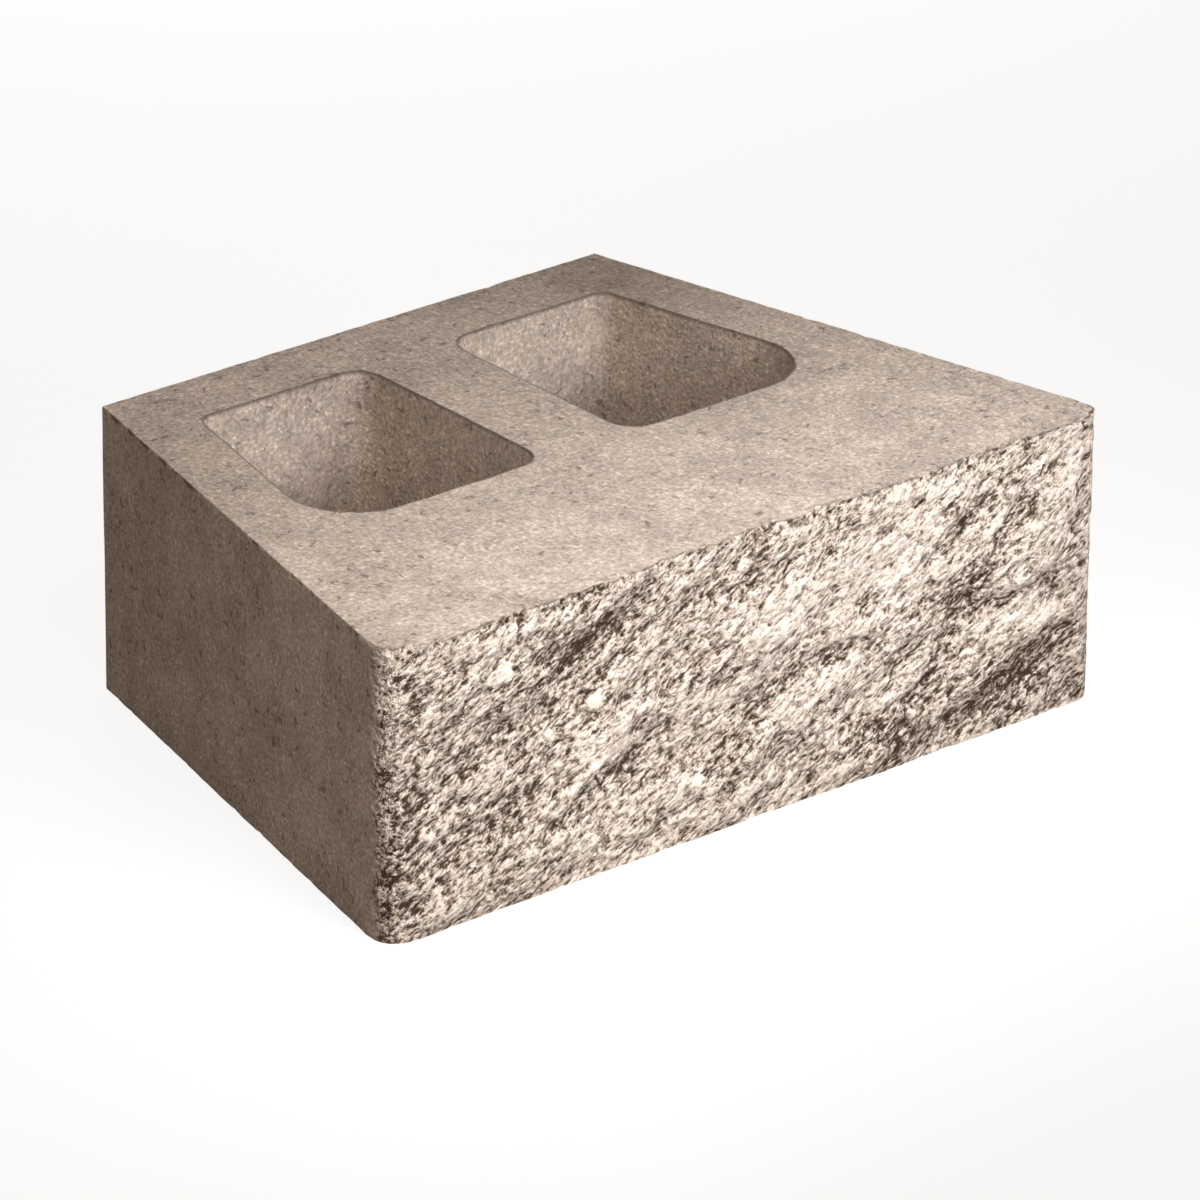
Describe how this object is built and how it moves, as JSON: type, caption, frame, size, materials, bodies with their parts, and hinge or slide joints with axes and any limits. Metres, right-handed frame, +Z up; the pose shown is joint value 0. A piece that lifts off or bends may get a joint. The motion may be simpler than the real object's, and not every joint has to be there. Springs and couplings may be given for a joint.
{
  "type": "retaining wall block",
  "caption": "Cored concrete retaining wall block with tapered sides, rounded front corners and a split rock face, laid in courses to hold back earth.",
  "frame": {"origin": "middle of the block's box on the bed that it stands on", "axes": "+Z up through the courses, -Y out of the split face, +X along the wall"},
  "size_m": [0.438, 0.31, 0.15],
  "materials": {
    "concrete": "dry-cast concrete, tan grey, fine open grain on the moulded faces and rough split aggregate on the front"
  },
  "bodies": {
    "root": {"retaining_wall_block": "concrete"}
  },
  "joints": []
}
